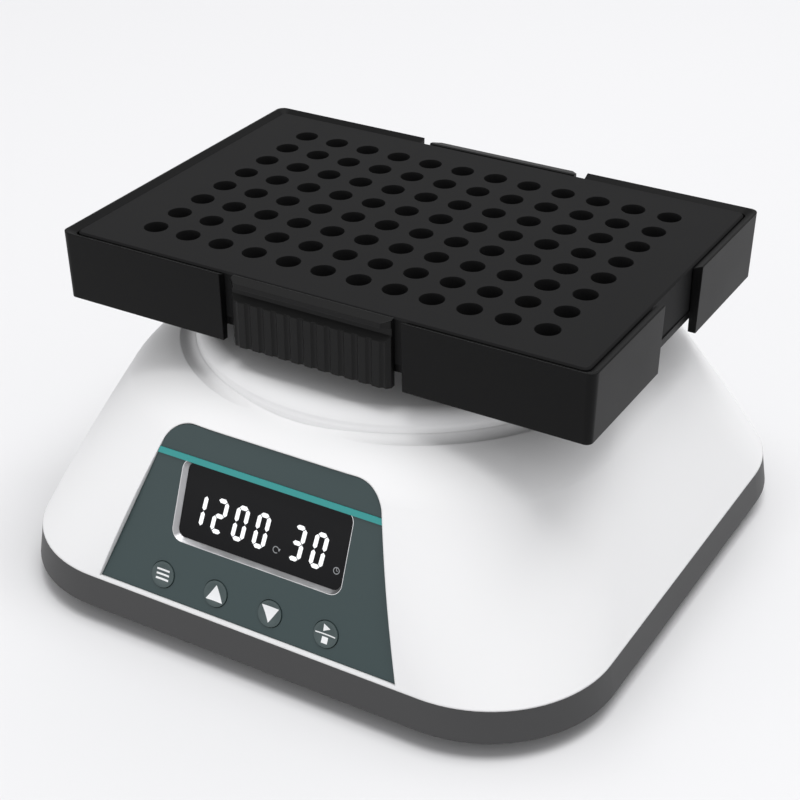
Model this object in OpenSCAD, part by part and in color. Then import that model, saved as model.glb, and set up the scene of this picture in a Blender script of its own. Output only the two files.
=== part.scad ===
// Microplate shaker: an eccentric drive in a domed base carries a plate tray
// with a block of 96 wells. The base stands on z = 0 with its drive axis on
// the Z axis, the control panel faces -Y, and all sizes are in millimetres.

/* [Base housing] */
// Half of the base's width and depth at the seam of cover and pan
base_half = 73.5; // [72:0.5:78]
// Radius of the base's corners at the seam
base_corner_r = 30; // [27:1:33]
// Height of the dome cover from the seam to its shoulder
dome_h = 44; // [43:0.5:48]
// Half of the width that the cover's sides lean in to at the shoulder
shoulder_half = 56.5; // [55:0.5:58]
// Corner radius that the cover reaches at the shoulder
shoulder_corner_r = 46; // [43:1:49]
// Outward bulge of the cover's sides
side_bulge = 0.8; // [0.5:0.1:1.5]
// Radius that rounds the cover's shoulder
shoulder_r = 7; // [5:0.5:8]
// Wall of the dome cover
cover_wall = 2.5; // [2:0.1:3]
// Radius of the round collar on top of the cover
collar_r = 51.5; // [50.5:0.5:52]
// Height of the collar above the shoulder
collar_h = 4.5; // [4:0.5:6]
// Radius of the hole in the collar that the moving neck comes through
opening_r = 26; // [24:0.5:30]

/* [Pan and feet] */
// Height of the dark pan's band
band_h = 8.5; // [8:0.5:12]
// How far the band flares out towards its foot
band_flare = 1.2; // [0.6:0.1:2]
// Chamfer along the band's lower edge
band_chamfer = 1; // [0.6:0.1:1.4]
// Thickness of the pan's floor
pan_floor = 2.5; // [2:0.1:3]
// Free height of the rubber feet
foot_h = 3.5; // [3:0.5:6]
// Radius of a rubber foot
foot_r = 5; // [4:0.5:6]
// Distance of the feet from the middle, left and right
foot_x = 56; // [52:1:58]
// Distance of the feet from the middle, front and back
foot_y = 61; // [58:1:62]

/* [Control panel] */
// Height of the panel along its slope
panel_h = 40.6; // [40:0.2:41]
// Half of the panel's width along its lower edge
panel_low_half = 39.2; // [38:0.2:41]
// Half of the width that its sides lean in to at the upper edge
panel_high_half = 26.8; // [26.4:0.2:29]
// Radius of the panel's two upper corners
panel_corner_r = 8; // [5:0.5:9]
// Thickness of the panel plate
panel_t = 2; // [1.8:0.1:2.4]
// Depth of the panel's face below the cover's sides
panel_recess = 0.6; // [0.4:0.1:1]
// Sideways place of the panel on the cover
panel_shift = -1.5; // [-3:0.5:3]
// Width of the display window
display_w = 42.8; // [40:0.2:43]
// Height of the display window
display_h = 17.5; // [15:0.1:17.6]
// Distance of the window's lower edge from the panel's lower edge
display_v = 14.7; // [14.4:0.1:14.8]
// Height of the accent stripe
stripe_h = 1.4; // [1:0.1:1.8]
// Radius of a round key
key_r = 3; // [2.5:0.1:3.2]
// Distance between neighbouring keys
key_pitch = 14.4; // [13.6:0.2:15]
// Distance of the keys from the panel's lower edge
key_v = 5.2; // [5:0.1:5.6]
// Travel of a key
key_travel = 0.6; // [0.3:0.1:0.7]

/* [Drive] */
// Radius of the orbit that the tray runs on
orbit_r = 2.25; // [1.5:0.25:2.5]
// Direction in which the tray is drawn, as an angle about the drive axis
rest_angle = -60; // [-180:5:180]
// Radius of the drive motor
motor_r = 21; // [18:0.5:22]
// Length of the drive motor
motor_h = 25; // [20:0.5:26]
// Radius of the motor's shaft
shaft_r = 2.5; // [2:0.1:2.8]
// Radius of the crank pin under the tray
pin_r = 3; // [2.5:0.1:3.2]
// Radius of the circle that the three idler cranks stand on
idler_circle_r = 36; // [34.5:0.5:37]
// Radius of the idler cranks' journals and pins
journal_r = 3; // [2.5:0.1:3.2]
// Thickness of the motor deck
deck_t = 4; // [3:0.5:4.5]
// Radius of the carrier's disc under the cover
carrier_r = 45; // [44:0.5:45.5]
// Radius of the carrier's neck
neck_r = 18; // [17:0.5:19]

/* [Plate tray] */
// Wall of the tray at its short sides
tray_end_wall = 2.25; // [2:0.25:4]
// Wall of the tray at its long sides
tray_side_wall = 2; // [1.8:0.1:3.2]
// Height of the tray's walls
tray_h = 16; // [15:0.5:20]
// Draft of the tray's walls over their height
tray_draft = 0.45; // [0.2:0.05:0.6]
// Thickness of the tray's floor
tray_floor = 1.8; // [1.5:0.1:2.2]
// Free height between the cover's collar and the tray's walls
tray_lift = 6; // [5:0.5:9]
// Half of the gap in the tray's long walls
gap_half_x = 22.7; // [22:0.1:25]
// Half of the finger gap in the tray's right-hand wall
gap_half_y = 10.4; // [8:0.2:14]
// Half of a clip's length
clip_half = 20; // [17:0.5:20.5]
// Travel of a clip when it is pulled out
clip_travel = 3; // [2:0.5:3]
// Number of grip ribs on a clip
clip_ribs = 11; // [8:1:13]

/* [Well block] */
// Half of the block's length
block_half_x = 63.75; // [63:0.25:63.75]
// Half of the block's depth
block_half_y = 42.55; // [42:0.05:42.55]
// Number of wells along the block
well_columns = 12; // [6:1:12]
// Number of wells across the block
well_rows = 8; // [4:1:8]
// Distance between neighbouring wells
well_pitch = 9; // [8:0.1:9]
// Radius of a well at its mouth
well_r = 2.8; // [2.4:0.1:3.2]
// Depth of a well
well_depth = 9; // [7:0.1:9]

/* [Hidden] */
$fn = 96;

// Clearances: a running fit, a seat that is only slipped together, a visible joint line
run_clear = 0.05;
seat_clear = 0.03;
joint_clear = 0.15;

// Heights in the base
pan_z = foot_h;
floor_z = pan_z + pan_floor;
seam_z = pan_z + band_h;
shoulder_z = seam_z + dome_h;
collar_z = shoulder_z + collar_h;

// The cover's section is a square with round corners. The corners' centres
// move in a straight line from base_c at the seam to shoulder_c at the
// shoulder, and their radius follows an arc that bulges by side_bulge.
base_c = base_half - base_corner_r;
shoulder_c = shoulder_half - shoulder_corner_r;
lean = (base_c - shoulder_c) / dome_h;
side_slope = atan2(dome_h, base_half - shoulder_half);
side_low = [base_corner_r, 0];
side_high = [shoulder_corner_r, dome_h];
side_chord = norm(side_high - side_low);
side_r = (side_chord * side_chord / 4 + side_bulge * side_bulge) / (2 * side_bulge);
side_normal = [dome_h, side_low.x - side_high.x] / side_chord;
side_arc = (side_low + side_high) / 2 - side_normal * (side_r - side_bulge);
shoulder_arc_y = dome_h - shoulder_r;
shoulder_arc = [side_arc.x + sqrt(pow(side_r - shoulder_r, 2) - pow(shoulder_arc_y - side_arc.y, 2)),
    shoulder_arc_y];
shoulder_dir = (shoulder_arc - side_arc) / norm(shoulder_arc - side_arc);
below = 1;

// The pan's rim that centres the cover from inside
rim_gap = 0.7;
rim_t = 1.4;
rim_h = 1.4;
rim_half = base_half - cover_wall / sin(side_slope) - rim_gap;
pan_inner_half = base_half - cover_wall;

// Screws
screw_r = 1.5;
small_screw_r = 1;
post_x = 62;
post_y = 30;
post_r = 4;
post_depth = 14;
post_h = 25;

// The rear recess with the supply inlet and the power switch
rear_y = base_half - 9.5;
rear_half = 27;
rear_z = seam_z + 3.5;
rear_h = 17.5;
rear_mid_z = rear_z + rear_h / 2;
rear_wall = 2.5;
inlet_x = 13;
inlet_r = 4;
inlet_bore_r = 2.85;
inlet_depth = 9.5;
inlet_flange_t = 1.5;
switch_x = -13;
switch_body = [13.9, 12, 9.3];
switch_mouth = [12.9, 8.1];
rocker_tilt = 8;
rocker_pin_r = 0.9;

// Panel parts, measured along the panel and out from its face
panel_lift = 0.7;
panel_lean = 0.5;
panel_y = -base_half + panel_lift / tan(side_slope) + panel_recess / sin(side_slope);
panel_z = seam_z + panel_lift;
console_t = 2.5;
console_grow = 2.5;
console_half = panel_low_half + 2;
bezel_w = 0.85;
bezel_depth = 1.3;
window_t = 1;
display_r = 2;
display_mid_v = display_v + display_h / 2;
display_x = 0;
module_margin = 1.6;
stripe_t = 0.25;
stripe_v = display_v + display_h;
keys_x = -1;
key_proud = 0.25;
key_flange_r = key_r + 0.8;
key_flange_t = 1;
stem_r = 1.5;
board_w = 8.5;
board_t = 1.6;
board_half = 35;
board_low = 2;
board_high = 34;
switch_top_w = board_w - 2.25;
board_boss_r = 2.6;
board_boss_x = 31;
board_boss_v = [11, 30];

// Heights of the drive, from the cover's roof down
roof_z = shoulder_z - cover_wall;
carrier_t = 4;
carrier_gap = 1.2;
carrier_top_z = roof_z - carrier_gap;
carrier_z = carrier_top_z - carrier_t;
crank_space = 6.8;
deck_top_z = carrier_z - crank_space;
deck_z = deck_top_z - deck_t;
step_gap = 0.6;
bearing_r = 7.5;
bearing_t = 5;
hub_r = 8;
hub_z = deck_top_z + step_gap;
hub_top_z = carrier_z - step_gap;
pin_top_z = carrier_z + bearing_t + 0.3;
weight_r = 24;
weight_z = deck_top_z + 2.2;
weight_t = 3;
weight_angle = 140;
idler_web_r = journal_r + 1.2;
bush_wall = 1.5;
bush_flange = 0.8;
motor_screw_circle_r = 16;
deck_half_x = 46;
deck_half_y = 36;
deck_post_x = 40;
deck_post_y = 30;
deck_post_r = 4.5;
motor_boss_r = 6;
motor_boss_h = 2;

// Place of the tray's middle on its orbit
orbit = orbit_r * [cos(rest_angle), sin(rest_angle)];

// Heights of the tray
tray_z = collar_z + tray_lift;
tray_top_z = tray_z + tray_h;
rim_rise = 0.35;
plate_t = 3.8;
tray_under = 3.3;
tray_floor_z = tray_z + tray_under;
plate_z = tray_floor_z - plate_t;
plate_half_x = 50;
plate_half_y = neck_r;
block_z = tray_floor_z + tray_floor;
block_h = tray_top_z - block_z;
tray_corner_r = 2;
pocket_clear = 0.25;
pocket_half_x = block_half_x + pocket_clear;
pocket_half_y = block_half_y + pocket_clear;
tray_half_x = pocket_half_x + tray_end_wall;
tray_half_y = pocket_half_y + tray_side_wall;
tray_screw_x = 42;
tray_screw_y = 11;
neck_wall = 2.5;
neck_boss_r = 3;
neck_boss_circle_r = 13;
neck_floor_z = pin_top_z + 1.2;

// Clips, measured outwards from the tray's middle and up from the tray's walls' foot
clip_in = pocket_half_y;
clip_lip_out = tray_half_y + 1;
tongue_half = 6;
tongue_in = neck_r + 3;
tongue_seat = 1.4;
tongue_gap = 0.3;
tongue_t = tray_under - 1.1;
tongue_z = tray_floor_z - tongue_gap - tongue_t;
slot_half = 1.6;
slot_in = tongue_in + 3.5;
peg_t = 1.5;
peg_half = 1.4;
spring_packed = 7.7;
peg_in = slot_in + spring_packed + clip_travel;
slot_out = peg_in + peg_t + 0.4;
guide_t = 0.6;
guide_half = tongue_half + 4.5;
guide_in = tongue_in + 1;
guide_out = pocket_half_y - 2;
guide_z = tongue_z - joint_clear - guide_t;
spring_r = 0.85;
spring_wire_r = 0.25;
spring_turns = 7;

// General forms

// A block with round corners whose walls lean out from r_low to r_high
module soft_block(half_x, half_y, h, r_low, r_high) {
    cx = half_x - r_low;
    cy = half_y - r_low;
    for (sx = [-1, 1], sy = [-1, 1])
        translate([sx * cx, sy * cy, 0])
            cylinder(h = h, r1 = r_low, r2 = r_high);
    rotate([90, 0, 0])
        linear_extrude(2 * cy, center = true)
            leaning_section(half_x, half_x + r_high - r_low, h);
    rotate([90, 0, 90])
        linear_extrude(2 * cx, center = true)
            leaning_section(half_y, half_y + r_high - r_low, h);
}

module leaning_section(low, high, h) {
    polygon([[-low, 0], [low, 0], [high, h], [-high, h]]);
}

module rounded_rect(w, h, r) {
    square([w - 2 * r, h], center = true);
    square([w, h - 2 * r], center = true);
    for (sx = [-1, 1], sy = [-1, 1])
        translate([sx * (w / 2 - r), sy * (h / 2 - r)])
            circle(r = r);
}

module tube(h, outer, inner) {
    difference() {
        cylinder(h = h, r = outer);
        translate([0, 0, -1])
            cylinder(h = h + 2, r = inner);
    }
}

// A screw with a round head and a hex socket, its head's underside at z = 0
module pan_screw(r, shank, head_r = 2.75, head_h = 1.8) {
    difference() {
        union() {
            cylinder(h = head_h, r1 = head_r, r2 = head_r - 0.4);
            translate([0, 0, -shank])
                cylinder(h = shank + 0.5, r = r);
        }
        translate([0, 0, head_h / 3])
            cylinder(h = head_h, r = head_r / 2.2, $fn = 6);
    }
}

// A countersunk screw with its flat head's top at z = 0
module flat_screw(r, length, head_r = 2.8) {
    difference() {
        union() {
            translate([0, 0, r - head_r])
                cylinder(h = head_r - r, r1 = r, r2 = head_r);
            translate([0, 0, -length])
                cylinder(h = length - head_r + r + 0.01, r = r);
        }
        translate([0, 0, -0.9])
            cylinder(h = 2, r = head_r / 2.4, $fn = 6);
    }
}

// The hole that a flat_screw sits in
module flat_screw_hole(r, length, head_r = 2.8) {
    translate([0, 0, r - head_r])
        cylinder(h = head_r - r + 0.02, r1 = r + seat_clear, r2 = head_r + seat_clear);
    translate([0, 0, -length])
        cylinder(h = length, r = r + seat_clear);
}

module at_four(x, y) {
    for (sx = [-1, 1], sy = [-1, 1])
        translate([sx * x, sy * y, 0])
            children();
}

module at_idlers() {
    for (i = [0:2])
        rotate(90 + 120 * i)
            translate([idler_circle_r, 0, 0])
                rotate(-90 - 120 * i)
                    children();
}

// Moves its children to the tray's middle
module on_orbit() {
    translate([orbit.x, orbit.y, 0])
        children();
}

// Turns its children so that x runs along the panel, y up its slope and z out of its face
module on_panel() {
    translate([panel_shift, panel_y, panel_z])
        rotate([side_slope - panel_lean, 0, 0])
            children();
}

// The dome cover's form from its seam up, solid or as a shell

module dome_section(inset, start) {
    tangent = shoulder_arc + (shoulder_r - inset) * shoulder_dir;
    intersection() {
        translate(side_arc)
            circle(r = side_r - inset, $fn = 480);
        translate([0, start])
            square([base_half, tangent.y - start]);
    }
    translate([0, tangent.y - 1])
        square([shoulder_arc.x, dome_h - inset - tangent.y + 1]);
    translate(shoulder_arc)
        circle(r = shoulder_r - inset);
}

module dome_profile(inset, shell) {
    difference() {
        dome_section(inset, 0);
        if (shell)
            dome_section(cover_wall, -below);
    }
}

module dome_wedge() {
    polygon([[-base_c - lean * below, -below], [base_c + lean * below, -below],
        [shoulder_c, dome_h], [-shoulder_c, dome_h]]);
}

module dome_form(inset = 0, shell = false) {
    core_z = shell ? dome_h - cover_wall : 0;
    intersection() {
        rotate([90, 0, 0])
            linear_extrude(2 * base_half, center = true)
                dome_wedge();
        rotate([90, 0, 90])
            linear_extrude(2 * base_half, center = true)
                dome_wedge();
        translate([-base_half, -base_half, core_z])
            cube([2 * base_half, 2 * base_half, dome_h - inset - core_z]);
    }
    for (i = [0:3])
        rotate(90 * i) {
            multmatrix([[1, 0, -lean, base_c], [0, 1, -lean, base_c], [0, 0, 1, 0], [0, 0, 0, 1]])
                rotate_extrude(angle = 90)
                    dome_profile(inset, shell);
            intersection() {
                multmatrix([[1, 0, -lean, base_c], [0, 1, 0, 0], [0, 0, 1, 0], [0, 0, 0, 1]])
                    rotate([90, 0, 0])
                        linear_extrude(2 * base_half, center = true)
                            dome_profile(inset, shell);
                rotate([90, 0, 90])
                    linear_extrude(base_half + 1)
                        dome_wedge();
            }
        }
}

// The collar: a round step with a soft edge and a groove round its foot
collar_edge_r = 4;
groove_r = 2.4;

module collar() {
    rotate_extrude() {
        square([collar_r - collar_edge_r, collar_h + cover_wall]);
        square([collar_r, collar_h + cover_wall - collar_edge_r]);
        translate([collar_r - collar_edge_r, collar_h + cover_wall - collar_edge_r])
            circle(r = collar_edge_r);
    }
}

module collar_groove() {
    translate([0, 0, shoulder_z + groove_r / 2])
        rotate_extrude()
            translate([collar_r + groove_r - 0.2, 0])
                circle(r = groove_r);
}

// Outline of the control panel: sides that lean in and two round upper corners
module panel_outline(grow = 0) {
    tilt = atan2(panel_low_half - panel_high_half, panel_h);
    low = panel_low_half + grow / cos(tilt) + grow * tan(tilt);
    h = panel_h + grow;
    r = panel_corner_r + grow;
    y = h - r;
    edge = panel_low_half + grow / cos(tilt) - y * tan(tilt);
    x = edge - r / cos(tilt);
    side = [x + r * cos(tilt), y + r * sin(tilt)];
    polygon([[-low, -grow], [low, -grow], side, [x, h], [-x, h], [-side.x, side.y]]);
    for (s = [-1, 1])
        translate([s * x, y])
            circle(r = r);
}

function key_x(i) = keys_x + (i - 1.5) * key_pitch;

// Housing

module base_pan() {
    color([0.29, 0.29, 0.3])
        difference() {
            union() {
                translate([0, 0, pan_z])
                    soft_block(base_half + band_flare - band_chamfer,
                        base_half + band_flare - band_chamfer, band_chamfer,
                        base_corner_r + band_flare - band_chamfer, base_corner_r + band_flare);
                translate([0, 0, pan_z + band_chamfer])
                    soft_block(base_half + band_flare, base_half + band_flare,
                        band_h - band_chamfer, base_corner_r + band_flare, base_corner_r);
                translate([0, 0, seam_z - 1])
                    soft_block(rim_half, rim_half, rim_h + 1, rim_half - base_c,
                        rim_half - base_c - 0.2);
            }
            translate([0, 0, floor_z])
                soft_block(pan_inner_half, pan_inner_half, band_h - pan_floor - 2.5,
                    pan_inner_half - base_c, pan_inner_half - base_c);
            translate([0, 0, floor_z])
                soft_block(rim_half - rim_t, rim_half - rim_t, band_h + 5,
                    rim_half - rim_t - base_c, rim_half - rim_t - base_c);
            rim_notches();
            vent_slots();
            at_four(foot_x, foot_y) {
                translate([0, 0, pan_z - 1])
                    cylinder(h = 1.8, r = foot_r + 1);
                cylinder(h = seam_z, r = foot_r / 2 + seat_clear);
            }
            at_four(post_x, post_y) {
                cylinder(h = seam_z, r = screw_r + joint_clear);
                translate([0, 0, pan_z - 1])
                    cylinder(h = 2.2, r = 3.2);
            }
        }
    color([0.29, 0.29, 0.3]) {
        at_four(deck_post_x, deck_post_y)
            translate([0, 0, floor_z - 0.5])
                difference() {
                    union() {
                        cylinder(h = deck_z - floor_z + 0.5, r = deck_post_r);
                        for (a = [0, 90])
                            rotate(a)
                                translate([-deck_post_r - 3, -0.75, 0])
                                    cube([2 * deck_post_r + 6, 1.5, 12]);
                    }
                    translate([0, 0, deck_z - floor_z - 11])
                        cylinder(h = 12, r = screw_r + seat_clear);
                }
        translate([0, power_board_y, 0])
            at_four(power_board_x - 4, power_board_d - 4)
                translate([0, 0, floor_z - 0.5])
                    cylinder(h = power_board_z - floor_z + 0.5, r = 2.2);
    }
}

// Room in the rim for the blocks behind the panel and round the rear recess
module rim_notches() {
    translate([panel_shift - console_half - 0.3, -base_half, seam_z])
        cube([2 * console_half + 0.6, 20, rim_h + 1]);
    translate([-rear_half - rear_wall - 0.3, base_half - 20, seam_z])
        cube([2 * (rear_half + rear_wall) + 0.6, 20, rim_h + 1]);
}

// Cooling slots under the motor
slot_count = 7;
slot_pitch = 6;
slot_half_length = 17;
slot_r = 1.3;

module vent_slots() {
    for (i = [0:slot_count - 1])
        translate([0, (i - (slot_count - 1) / 2) * slot_pitch, pan_z - 1])
            linear_extrude(pan_floor + 2)
                rounded_rect(2 * slot_half_length, 2 * slot_r, slot_r - 0.05);
}

module feet() {
    color([0.12, 0.12, 0.12])
        at_four(foot_x, foot_y) {
            cylinder(h = 0.8, r1 = foot_r - 0.8, r2 = foot_r);
            translate([0, 0, 0.8])
                cylinder(h = pan_z, r = foot_r);
            cylinder(h = floor_z + 0.6, r = foot_r / 2);
            translate([0, 0, floor_z])
                cylinder(h = 1.2, r1 = foot_r / 2 + 0.7, r2 = foot_r / 2 - 0.6);
        }
}

module base_screws() {
    color("silver")
        at_four(post_x, post_y)
            translate([0, 0, pan_z + 1.2])
                mirror([0, 0, 1])
                    pan_screw(screw_r, pan_floor + post_depth - 3, 2.8, 1.1);
}

// Blocks behind the control panel and round the rear recess that end inside the wall
module console_block() {
    intersection() {
        translate([0, 0, seam_z])
            dome_form(cover_wall / 2);
        on_panel()
            translate([-console_half, -5, -panel_t - console_t])
                cube([2 * console_half, panel_h + 5 + console_grow, 20]);
    }
}

module rear_block() {
    intersection() {
        translate([0, 0, seam_z])
            dome_form(cover_wall / 2);
        translate([-rear_half - rear_wall, rear_y - rear_wall, seam_z - below])
            cube([2 * (rear_half + rear_wall), 20, rear_z + rear_h + rear_wall - seam_z + below]);
    }
}

module cover_posts() {
    at_four(post_x, post_y)
        translate([0, 0, floor_z])
            cylinder(h = post_h, r = post_r);
    on_panel()
        for (s = [-1, 1], v = board_boss_v)
            translate([s * board_boss_x, v, -board_w])
                cylinder(h = board_w - panel_t - 0.5, r = board_boss_r);
}

module dome_cover() {
    color([0.93, 0.93, 0.93])
        difference() {
            union() {
                translate([0, 0, seam_z])
                    dome_form(shell = true);
                translate([0, 0, roof_z])
                    collar();
                console_block();
                rear_block();
                cover_posts();
            }
            collar_groove();
            translate([0, 0, roof_z - 1])
                cylinder(h = collar_z - cover_wall - roof_z + 1,
                    r = collar_r - collar_edge_r + 1.5);
            translate([0, 0, roof_z])
                cylinder(h = collar_h + 10, r = opening_r);
            at_four(post_x, post_y)
                translate([0, 0, floor_z - 1])
                    cylinder(h = post_depth, r = screw_r + seat_clear);
            panel_cuts();
            rear_cuts();
        }
}

// The recess for the panel plate and the openings behind it
module panel_cuts() {
    on_panel() {
        translate([0, 0, -panel_t])
            linear_extrude(20)
                panel_outline();
        translate([display_x, display_mid_v, -panel_t - console_t - 2])
            linear_extrude(10)
                square([display_w + 2 * module_margin + 0.4, display_h + 2 * module_margin + 0.4],
                    center = true);
        for (i = [0:3])
            translate([key_x(i), key_v, -panel_t - console_t - 2])
                cylinder(h = 10, r = key_flange_r + 0.4);
        for (s = [-1, 1], v = board_boss_v)
            translate([s * board_boss_x, v, -board_w - 1])
                cylinder(h = board_w - panel_t, r = small_screw_r + seat_clear);
    }
}

module rear_cuts() {
    translate([-rear_half, rear_y, rear_z])
        cube([2 * rear_half, 20, rear_h]);
    translate([switch_x, rear_y, rear_mid_z])
        cube([switch_body.x + 0.1, 20, switch_body.z + 0.1], center = true);
    translate([inlet_x, rear_y, rear_mid_z])
        rotate([90, 0, 0])
            cylinder(h = 20, r = inlet_r + seat_clear, center = true);
}

// Rear fittings

module dc_inlet() {
    color([0.12, 0.12, 0.13])
        translate([inlet_x, rear_y, rear_mid_z])
            rotate([-90, 0, 0]) {
                difference() {
                    union() {
                        cylinder(h = inlet_flange_t, r = inlet_r + 1.5);
                        translate([0, 0, -inlet_depth - 1])
                            cylinder(h = inlet_depth + 1, r = inlet_r);
                    }
                    translate([0, 0, inlet_flange_t - inlet_depth])
                        cylinder(h = inlet_depth + 1, r = inlet_bore_r);
                }
                translate([0, 0, inlet_flange_t - inlet_depth - 0.5])
                    cylinder(h = inlet_depth - 1, r = 1);
            }
}

module inlet_nut() {
    color("silver")
        translate([inlet_x, rear_y - rear_wall, rear_mid_z])
            rotate([90, 0, 0])
                difference() {
                    cylinder(h = 2.5, r = inlet_r + 2.2, $fn = 6);
                    translate([0, 0, -1])
                        cylinder(h = 5, r = inlet_r + seat_clear);
                }
}

module switch_frame() {
    color([0.1, 0.1, 0.1])
        translate([switch_x, rear_y, rear_mid_z]) {
            difference() {
                union() {
                    translate([-switch_body.x / 2, -switch_body.y, -switch_body.z / 2])
                        cube([switch_body.x, switch_body.y, switch_body.z]);
                    translate([-switch_body.x / 2 - 1.3, 0, -switch_body.z / 2 - 1.3])
                        cube([switch_body.x + 2.6, 1.2, switch_body.z + 2.6]);
                }
                translate([-switch_mouth.x / 2, -6, -switch_mouth.y / 2])
                    cube([switch_mouth.x, 12, switch_mouth.y]);
            }
            translate([0, -1, 0])
                cylinder(h = switch_mouth.y + 0.4, r = rocker_pin_r, center = true);
            for (s = [-1, 1])
                translate([s * 4 - 1.2, -switch_body.y - 4, -0.4])
                    cube([2.4, 5, 0.8]);
        }
}

// The rocker is drawn switched on, tilted about its pin
module switch_rocker() {
    half = switch_mouth.x / 2 - 0.5;
    color([0.08, 0.08, 0.08])
        translate([switch_x, rear_y - 1, rear_mid_z])
            rotate(rocker_tilt)
                difference() {
                    linear_extrude(switch_mouth.y - 0.3, center = true)
                        polygon([[-half, -0.6], [-half, 3.4], [0, 2.2], [half, 3.4], [half, -0.6],
                            [0, -3]]);
                    cylinder(h = 20, r = rocker_pin_r + run_clear, center = true);
                }
}

// Electronics

power_board_x = 25;
power_board_in = 29.5;
power_board_y = base_half - power_board_in;
power_board_d = 13;
power_board_z = floor_z + 3;

module power_board() {
    translate([0, power_board_y, power_board_z]) {
        color([0.05, 0.3, 0.16])
            translate([-power_board_x, -power_board_d, 0])
                cube([2 * power_board_x, 2 * power_board_d, board_t]);
        color([0.15, 0.15, 0.2])
            for (x = [-17, -5])
                translate([x, -5, board_t])
                    cylinder(h = 9, r = 4);
        color([0.2, 0.2, 0.2])
            translate([5, -9, board_t])
                cube([9, 9, 4]);
        color([0.1, 0.4, 0.2])
            translate([4, 4, board_t])
                cube([15, 7, 6]);
    }
}

module control_board() {
    on_panel() {
        color([0.05, 0.3, 0.16])
            difference() {
                translate([-board_half, board_low, -board_w - board_t])
                    cube([2 * board_half, board_high - board_low, board_t]);
                for (s = [-1, 1], v = board_boss_v)
                    translate([s * board_boss_x, v, -board_w - board_t - 1])
                        cylinder(h = board_t + 2, r = small_screw_r + joint_clear);
            }
        for (i = [0:3])
            translate([key_x(i), key_v, -board_w]) {
                color([0.15, 0.15, 0.15])
                    translate([-3, -3, 0])
                        cube([6, 6, 1.6]);
                color("ivory")
                    cylinder(h = board_w - switch_top_w, r = 1.2);
            }
    }
}

module board_screws() {
    color("silver")
        on_panel()
            for (s = [-1, 1], v = board_boss_v)
                translate([s * board_boss_x, v, -board_w - board_t])
                    mirror([0, 0, 1])
                        pan_screw(small_screw_r, board_t + 3.4, 1.9, 1.2);
}

module display_module() {
    color([0.16, 0.17, 0.18])
        on_panel()
            translate([display_x, display_mid_v, -board_w])
                linear_extrude(board_w - bezel_depth - window_t)
                    square([display_w + 2 * module_margin - 0.6, display_h + 2 * module_margin - 0.6],
                        center = true);
}

module display_window() {
    color([0.1, 0.1, 0.1])
        on_panel()
            translate([display_x, display_mid_v, -bezel_depth - window_t])
                linear_extrude(window_t)
                    rounded_rect(display_w - 2 * seat_clear, display_h - 2 * seat_clear, display_r);
}

// A metal ring whose inner faces slope down to the window
module display_bezel() {
    rim = 0.12;
    color([0.69, 0.69, 0.69])
        on_panel()
            translate([display_x, display_mid_v, 0])
                difference() {
                    translate([0, 0, -bezel_depth - window_t])
                        linear_extrude(bezel_depth + window_t)
                            rounded_rect(display_w + 2 * bezel_w, display_h + 2 * bezel_w,
                                display_r + bezel_w);
                    translate([0, 0, -bezel_depth - window_t - 1])
                        linear_extrude(window_t + 1.01)
                            rounded_rect(display_w, display_h, display_r);
                    translate([0, 0, -bezel_depth])
                        soft_block(display_w / 2, display_h / 2, bezel_depth, display_r,
                            display_r + bezel_w - rim);
                }
}

module control_panel() {
    color([0.27, 0.32, 0.32])
        on_panel()
            difference() {
                translate([0, 0, -panel_t])
                    linear_extrude(panel_t)
                        panel_outline(-joint_clear);
                translate([display_x, display_mid_v, -panel_t - 1])
                    linear_extrude(panel_t + 2)
                        rounded_rect(display_w + 2 * (bezel_w + seat_clear),
                            display_h + 2 * (bezel_w + seat_clear), display_r + bezel_w);
                for (i = [0:3])
                    translate([key_x(i), key_v, -panel_t - 1])
                        cylinder(h = panel_t + 2, r = key_r + joint_clear);
            }
}

module accent_stripe() {
    color([0.25, 0.65, 0.62])
        on_panel()
            linear_extrude(stripe_t)
                intersection() {
                    panel_outline(-joint_clear);
                    translate([-panel_low_half, stripe_v])
                        square([2 * panel_low_half, stripe_h]);
                }
}

// A round key with a dished top, a flange behind the panel and a stem to its switch
module key(i) {
    dish_r = 14;
    color([0.29, 0.34, 0.34])
        on_panel()
            translate([key_x(i), key_v, 0])
                difference() {
                    union() {
                        translate([0, 0, -panel_t - joint_clear])
                            cylinder(h = panel_t + joint_clear + key_proud, r = key_r);
                        translate([0, 0, -panel_t - joint_clear - key_flange_t])
                            cylinder(h = key_flange_t, r = key_flange_r);
                        translate([0, 0, key_travel + 0.05 - switch_top_w])
                            cylinder(h = switch_top_w - key_travel - panel_t, r = stem_r);
                    }
                    translate([0, 0, key_proud + dish_r - 0.2])
                        sphere(r = dish_r);
                }
}

module key_menu() {
    key(0);
}

module key_up() {
    key(1);
}

module key_down() {
    key(2);
}

module key_start() {
    key(3);
}

// Drive

module motor_deck() {
    color([0.75, 0.76, 0.78])
        difference() {
            translate([0, 0, deck_z])
                linear_extrude(deck_t)
                    rounded_rect(2 * deck_half_x, 2 * deck_half_y, 6);
            translate([0, 0, deck_z - 1])
                cylinder(h = deck_t + 2, r = motor_boss_r + seat_clear);
            at_motor_screws()
                translate([0, 0, deck_z - 1])
                    cylinder(h = deck_t + 2, r = screw_r + joint_clear);
            at_four(deck_post_x, deck_post_y)
                translate([0, 0, deck_z - 1])
                    cylinder(h = deck_t + 2, r = screw_r + joint_clear);
            at_idlers()
                translate([0, 0, deck_z - 1])
                    cylinder(h = deck_t + 2, r = journal_r + bush_wall + seat_clear);
        }
}

module at_motor_screws() {
    for (i = [0:3])
        rotate(45 + 90 * i)
            translate([motor_screw_circle_r, 0, 0])
                children();
}

module deck_screws() {
    color("silver")
        at_four(deck_post_x, deck_post_y)
            translate([0, 0, deck_top_z])
                pan_screw(screw_r, deck_t + 9);
}

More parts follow.
